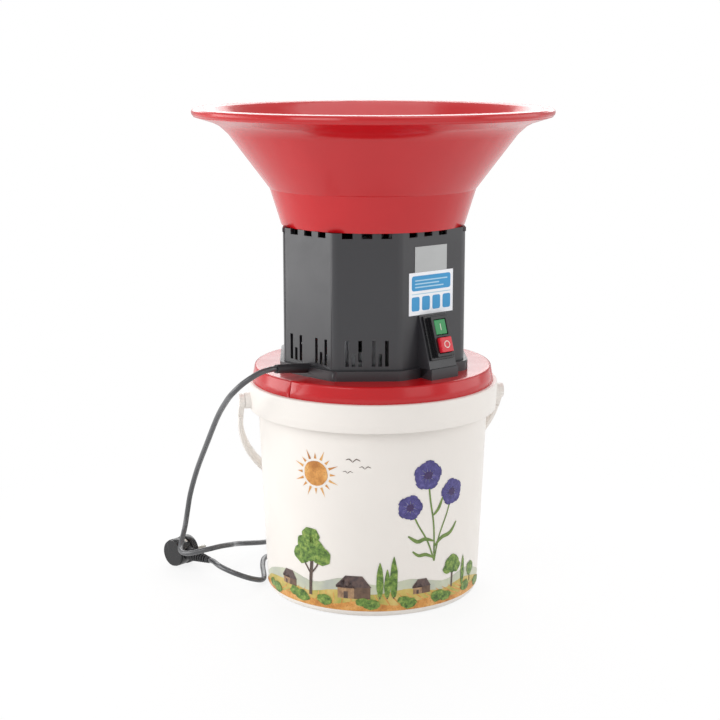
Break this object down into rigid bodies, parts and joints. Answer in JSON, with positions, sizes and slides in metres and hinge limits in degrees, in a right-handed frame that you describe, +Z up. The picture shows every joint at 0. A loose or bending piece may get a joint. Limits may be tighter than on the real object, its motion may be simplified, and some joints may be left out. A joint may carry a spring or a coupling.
{
  "type": "electric grain mill",
  "caption": "Electric grain mill: a round feed hopper over a motor head with beater blade and sieve, standing as a lid on a flour bucket with a bail handle.",
  "frame": {"origin": "centre of the bucket's base, on the surface it stands on", "axes": "+Z up along the mill's axis, -Y towards the front as pictured, +X to the right"},
  "size_m": [0.4946, 0.4734, 0.6035],
  "materials": {
    "cream_plastic": "satin moulded plastic",
    "red_plastic": "gloss moulded plastic",
    "charcoal_plastic": "satin, finely grained",
    "black_plastic": "satin",
    "brown_plastic": "moulded phenolic",
    "white_plastic": "plain",
    "green_button": "gloss",
    "red_button": "gloss",
    "white_label": "printed film",
    "plate_alloy": "satin foil plate",
    "steel": "machined",
    "cast_alloy": "die cast",
    "lamination": "stacked sheet",
    "copper": "enamelled copper",
    "carbon": "carbon",
    "seal_rubber": "matt",
    "black_rubber": "matt",
    "cord_sheath": "satin sheath",
    "brass_pins": "nickel plated"
  },
  "bodies": {
    "bucket": {"bucket": "cream_plastic", "cord_lead": "cord_sheath", "cord_coil": "cord_sheath", "cord_tail": "cord_sheath", "plug_boot": "black_rubber", "plug_body": "black_plastic", "plug_pins": "brass_pins"},
    "bail": {"bail": "cream_plastic"},
    "mill_head": {"lid": "red_plastic", "lid_gasket": "seal_rubber", "housing": "charcoal_plastic", "hopper": "red_plastic", "gate_screw": "steel", "feed_chute": "steel", "hopper_screws": "steel", "housing_screws": "steel", "motor_base": "cast_alloy", "motor_screws": "steel", "motor_cage": "cast_alloy", "cage_bolts": "steel", "stator_core": "lamination", "stator_coils": "copper", "brush_holders": "brown_plastic", "brushes": "carbon", "lower_bearing": "steel", "upper_bearing": "steel", "chamber": "cast_alloy", "sieve": "steel", "chamber_studs": "steel", "wing_nuts": "steel", "switch_body": "black_plastic", "rating_plate": "plate_alloy", "notice_sticker": "white_label", "capacitor": "white_plastic", "capacitor_clip": "steel", "terminal_block": "white_plastic", "strain_relief": "black_rubber"},
    "gate": {"feed_gate": "steel"},
    "rotor": {"shaft": "steel", "armature_core": "lamination", "armature_coils": "copper", "commutator": "copper", "cooling_fan": "black_plastic", "blade": "steel", "blade_washer": "steel", "blade_nut": "steel"},
    "on_button": {"on_button": "green_button"},
    "off_button": {"off_button": "red_button"}
  },
  "joints": [
    {"name": "bail_swing", "type": "hinge", "parent": "bucket", "child": "bail", "pos_m": [0, 0, 0.245], "axis": [0.9877, 0.1564, 0], "range_deg": [0, 100]},
    {"name": "head_lift", "type": "slide", "parent": "bucket", "child": "mill_head", "axis": [0, 0, 1], "range_m": [0, 0.2]},
    {"name": "gate_swing", "type": "hinge", "parent": "mill_head", "child": "gate", "pos_m": [-0.03195, 0.05837, 0.466], "axis": [0, 0, 1], "range_deg": [0, 75]},
    {"name": "rotor_spin", "type": "hinge", "parent": "mill_head", "child": "rotor", "pos_m": [0, 0, 0.3], "axis": [0, 0, 1], "continuous": true},
    {"name": "on_press", "type": "slide", "parent": "mill_head", "child": "on_button", "axis": [-0.5718, 0.7587, -0.3121], "range_m": [0, 0.003], "stiffness_N_per_m": 400},
    {"name": "off_press", "type": "slide", "parent": "mill_head", "child": "off_button", "axis": [-0.5718, 0.7587, -0.3121], "range_m": [0, 0.003], "stiffness_N_per_m": 400}
  ]
}
